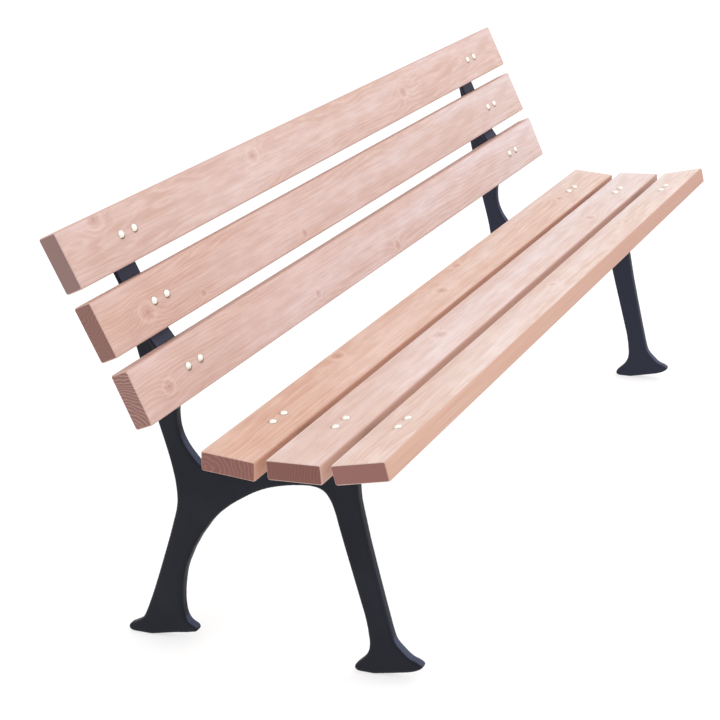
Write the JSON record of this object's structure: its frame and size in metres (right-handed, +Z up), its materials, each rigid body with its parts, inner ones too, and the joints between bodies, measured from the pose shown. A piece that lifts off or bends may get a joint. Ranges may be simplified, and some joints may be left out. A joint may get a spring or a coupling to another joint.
{
  "type": "park bench with back",
  "caption": "Park bench with a back: timber slats bolted to two arched cast metal end frames with flared feet.",
  "frame": {"origin": "on the ground under the middle of the bench's box", "axes": "+X along the slats, +Y from the sitter's knees to the back, +Z up"},
  "size_m": [1.8, 0.611, 0.7859],
  "materials": {
    "painted_casting": "satin",
    "stained_pine": "matte",
    "zinc_plate": "satin"
  },
  "bodies": {
    "root": {"end_frame_left": "painted_casting", "end_frame_right": "painted_casting", "back_slat_top": "stained_pine", "back_slat_middle": "stained_pine", "back_slat_bottom": "stained_pine", "seat_slat_rear": "stained_pine", "seat_slat_middle": "stained_pine", "seat_slat_front": "stained_pine", "bolt_back_top_left_low_x": "zinc_plate", "bolt_back_top_left_high_x": "zinc_plate", "bolt_back_top_right_low_x": "zinc_plate", "bolt_back_top_right_high_x": "zinc_plate", "bolt_back_middle_left_low_x": "zinc_plate", "bolt_back_middle_left_high_x": "zinc_plate", "bolt_back_middle_right_low_x": "zinc_plate", "bolt_back_middle_right_high_x": "zinc_plate", "bolt_back_bottom_left_low_x": "zinc_plate", "bolt_back_bottom_left_high_x": "zinc_plate", "bolt_back_bottom_right_low_x": "zinc_plate", "bolt_back_bottom_right_high_x": "zinc_plate", "bolt_seat_rear_left_low_x": "zinc_plate", "bolt_seat_rear_left_high_x": "zinc_plate", "bolt_seat_rear_right_low_x": "zinc_plate", "bolt_seat_rear_right_high_x": "zinc_plate", "bolt_seat_middle_left_low_x": "zinc_plate", "bolt_seat_middle_left_high_x": "zinc_plate", "bolt_seat_middle_right_low_x": "zinc_plate", "bolt_seat_middle_right_high_x": "zinc_plate", "bolt_seat_front_left_low_x": "zinc_plate", "bolt_seat_front_left_high_x": "zinc_plate", "bolt_seat_front_right_low_x": "zinc_plate", "bolt_seat_front_right_high_x": "zinc_plate", "nut_back_top_left_low_x": "zinc_plate", "nut_back_top_left_high_x": "zinc_plate", "nut_back_top_right_low_x": "zinc_plate", "nut_back_top_right_high_x": "zinc_plate", "nut_back_middle_left_low_x": "zinc_plate", "nut_back_middle_left_high_x": "zinc_plate", "nut_back_middle_right_low_x": "zinc_plate", "nut_back_middle_right_high_x": "zinc_plate", "nut_back_bottom_left_low_x": "zinc_plate", "nut_back_bottom_left_high_x": "zinc_plate", "nut_back_bottom_right_low_x": "zinc_plate", "nut_back_bottom_right_high_x": "zinc_plate", "nut_seat_rear_left_low_x": "zinc_plate", "nut_seat_rear_left_high_x": "zinc_plate", "nut_seat_rear_right_low_x": "zinc_plate", "nut_seat_rear_right_high_x": "zinc_plate", "nut_seat_middle_left_low_x": "zinc_plate", "nut_seat_middle_left_high_x": "zinc_plate", "nut_seat_middle_right_low_x": "zinc_plate", "nut_seat_middle_right_high_x": "zinc_plate", "nut_seat_front_left_low_x": "zinc_plate", "nut_seat_front_left_high_x": "zinc_plate", "nut_seat_front_right_low_x": "zinc_plate", "nut_seat_front_right_high_x": "zinc_plate"}
  },
  "joints": []
}
